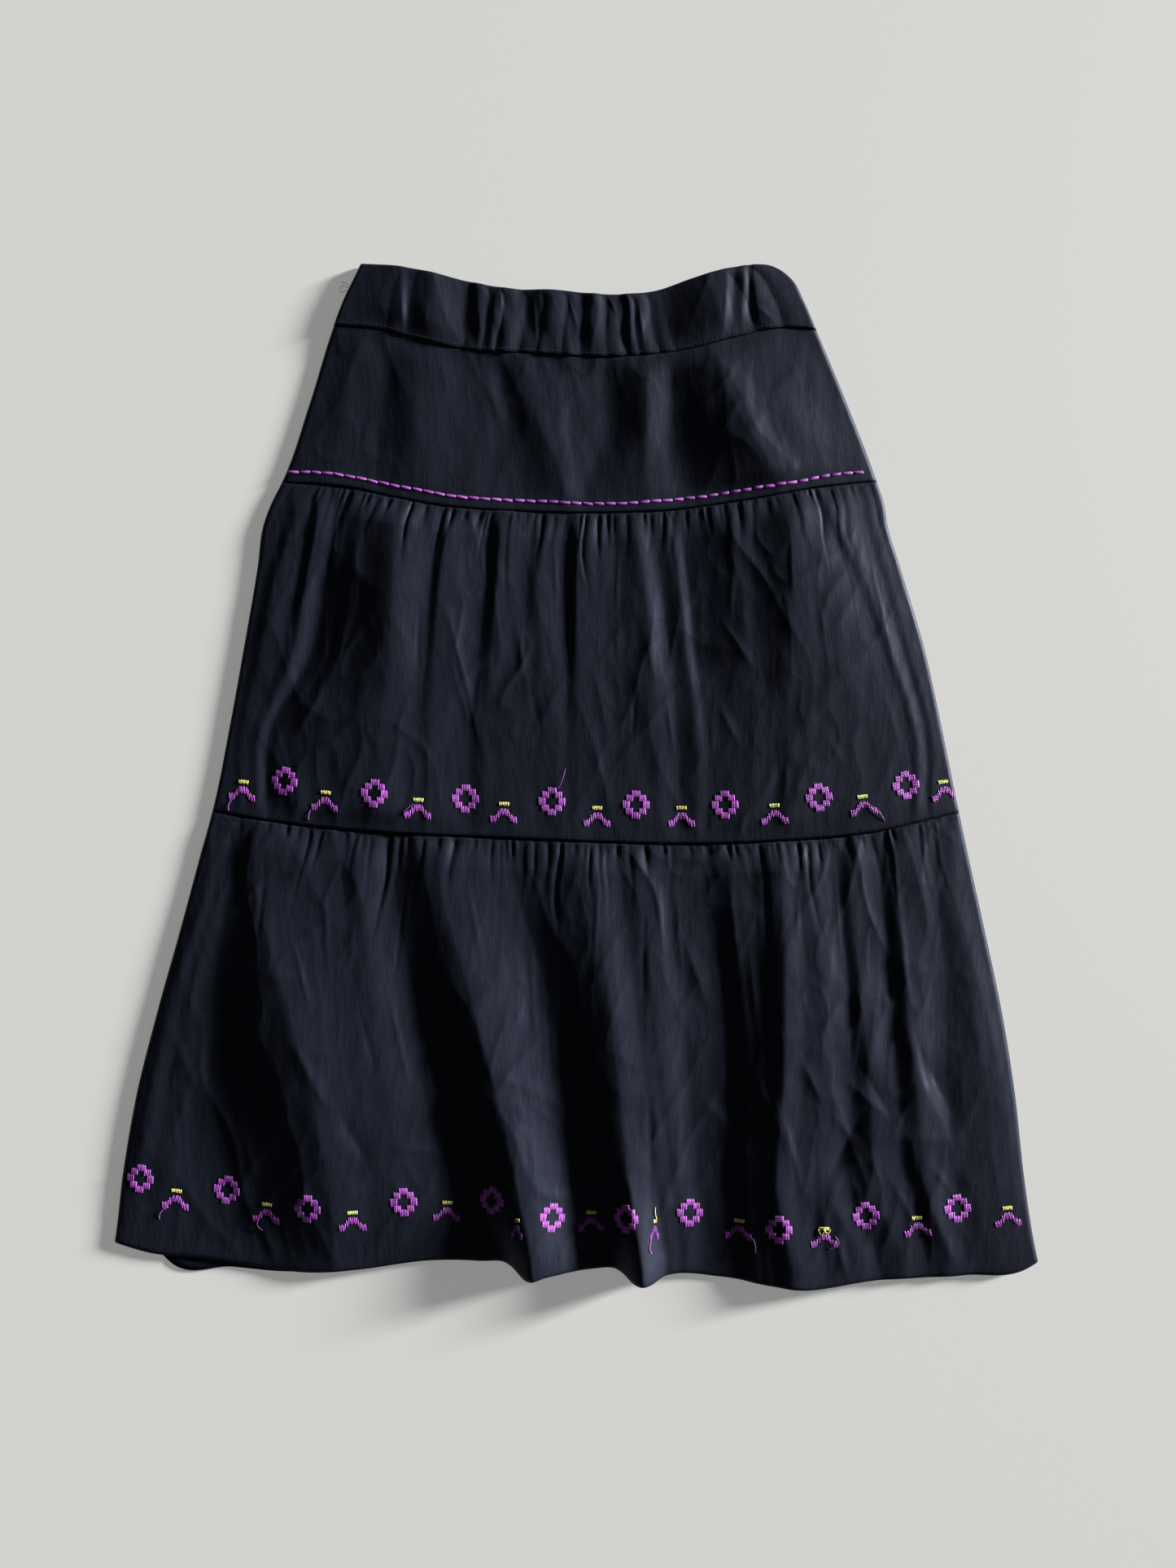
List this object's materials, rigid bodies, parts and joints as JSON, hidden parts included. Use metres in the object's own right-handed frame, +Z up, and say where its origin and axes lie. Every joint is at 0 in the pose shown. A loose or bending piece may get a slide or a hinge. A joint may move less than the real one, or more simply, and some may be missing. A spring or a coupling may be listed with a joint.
{
  "type": "embroidered skirt",
  "caption": "Elasticated tiered skirt laid flat: a drawn-in waistband, a plain yoke and gathered tiers with a wavy hem, front panels lying on flat back panels.",
  "frame": {"origin": "on the surface, under the middle of the skirt's box", "axes": "+Z up from the surface through the back panels to the front panels, +Y from the hem towards the waist, +X to the picture's right"},
  "size_m": [0.5682, 0.6286, 0.0171],
  "materials": {
    "cloth": "satin",
    "purple_thread": "satin",
    "yellow_thread": "satin"
  },
  "bodies": {
    "root": {"waistband_front": "cloth", "waistband_back": "cloth", "yoke_front": "cloth", "yoke_back": "cloth", "middle_tier_front": "cloth", "middle_tier_back": "cloth", "bottom_tier_front": "cloth", "bottom_tier_back": "cloth"}
  },
  "joints": []
}
